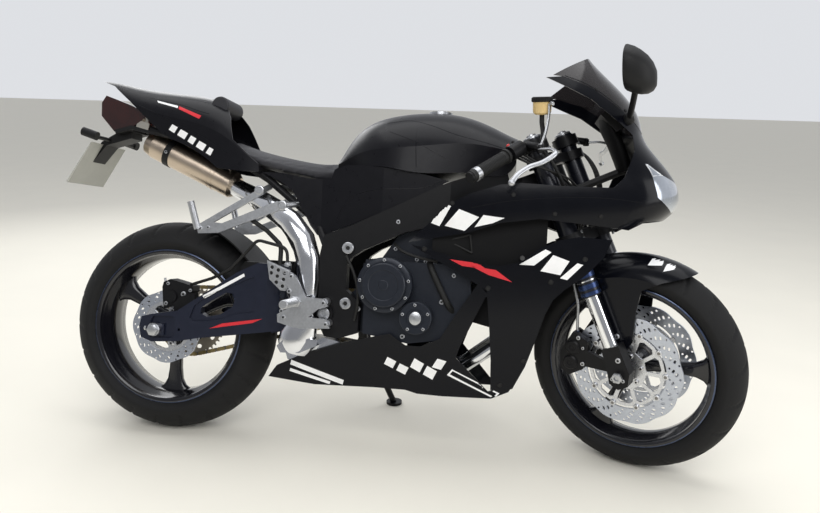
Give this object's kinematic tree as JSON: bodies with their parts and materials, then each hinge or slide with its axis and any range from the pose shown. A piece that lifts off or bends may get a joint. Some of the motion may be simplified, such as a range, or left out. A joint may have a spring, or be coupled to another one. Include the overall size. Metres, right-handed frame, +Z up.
{
  "type": "sport motorcycle",
  "caption": "Black sport bike with full fairing, solo tail and under-seat muffler, parked on its side stand with the steering turned right.",
  "frame": {"origin": "bottom centre of the bounding box, on the floor, as the bike parks", "axes": "+X to the bike's front, +Y to the rider's left, +Z up; the bike leans 12 degrees to its left"},
  "size_m": [1.9835, 0.757, 1.1626],
  "materials": {
    "frame_black": "satin",
    "engine_black": "satin",
    "chain_steel": "worn",
    "radiator_alloy": "satin",
    "stainless": "polished",
    "titanium": "satin",
    "satin_black": "satin",
    "seat_cover": "matte",
    "black_plastic": "matte",
    "lamp_red": "gloss",
    "plate_grey": "satin",
    "swingarm_blue_black": "satin",
    "bright_steel": "satin",
    "caliper_black": "satin",
    "silver_alloy": "satin",
    "gloss_black": "gloss",
    "smoked_screen": "gloss",
    "lamp_clear": "gloss",
    "fork_blue_black": "satin",
    "chrome_tube": "polished",
    "grip_rubber": "matte",
    "reservoir_amber": "gloss",
    "hose_rubber": "matte",
    "wheel_black": "gloss",
    "tyre_rubber": "matte",
    "disc_steel": "satin",
    "sprocket_alloy": "satin"
  },
  "bodies": {
    "chassis": {"main_frame": "frame_black", "engine_covers": "engine_black", "engine_sprocket": "chain_steel", "exhaust_system": "stainless", "muffler": "titanium", "fuel_tank": "satin_black", "fuel_cap": "silver_alloy", "seat": "seat_cover", "subframe": "frame_black", "side_covers": "satin_black", "tail_cowl": "satin_black", "back_pad": "black_plastic", "plate_holder": "black_plastic", "tail_light": "lamp_red", "licence_plate": "plate_grey", "swingarm": "swingarm_blue_black", "pivot_shaft": "bright_steel", "rear_axle": "bright_steel", "rear_caliper": "caliper_black", "hugger": "black_plastic", "drive_chain": "chain_steel", "rearsets": "silver_alloy", "rear_master_cylinder": "engine_black", "rear_brake_hoses": "hose_rubber", "passenger_brackets": "silver_alloy", "engine_block": "engine_black", "radiator": "radiator_alloy", "side_fairings": "gloss_black", "belly_pans": "gloss_black", "front_cowl": "gloss_black", "windscreen": "smoked_screen", "instrument_cluster": "black_plastic", "mirrors": "black_plastic", "headlights": "lamp_clear", "stand_bracket": "frame_black"},
    "steering": {"fork_outer_tubes": "fork_blue_black", "fork_inner_tubes": "chrome_tube", "fork_bottoms": "frame_black", "front_axle": "bright_steel", "triple_clamps": "frame_black", "handlebars": "frame_black", "grips": "grip_rubber", "control_levers": "silver_alloy", "brake_reservoir": "reservoir_amber", "front_fender": "gloss_black", "front_calipers": "caliper_black", "brake_hoses": "hose_rubber"},
    "front_wheel": {"front_rim": "wheel_black", "front_tyre": "tyre_rubber", "front_discs": "disc_steel"},
    "rear_wheel": {"rear_rim": "wheel_black", "rear_tyre": "tyre_rubber", "rear_disc": "disc_steel", "rear_sprocket": "sprocket_alloy"},
    "side_stand": {"side_stand": "frame_black"}
  },
  "joints": [
    {"name": "steering_turn", "type": "hinge", "parent": "chassis", "child": "steering", "pos_m": [0.81645, -0.18572, 0.0052], "axis": [-0.4014, 0.1906, 0.8958], "range_deg": [0, 56]},
    {"name": "front_wheel_spin", "type": "hinge", "parent": "steering", "child": "front_wheel", "pos_m": [0.71488, -0.13756, 0.3], "axis": [0.4304, 0.9027, 0.0008], "continuous": true},
    {"name": "rear_wheel_spin", "type": "hinge", "parent": "chassis", "child": "rear_wheel", "pos_m": [-0.6569, -0.12023, 0.31021], "axis": [0.0004, 0.9781, -0.2079], "continuous": true},
    {"name": "side_stand_fold", "type": "hinge", "parent": "chassis", "child": "side_stand", "pos_m": [-0.09678, 0.02171, 0.25771], "axis": [0.141, 0.9185, 0.3694], "range_deg": [0, 102.3]}
  ]
}
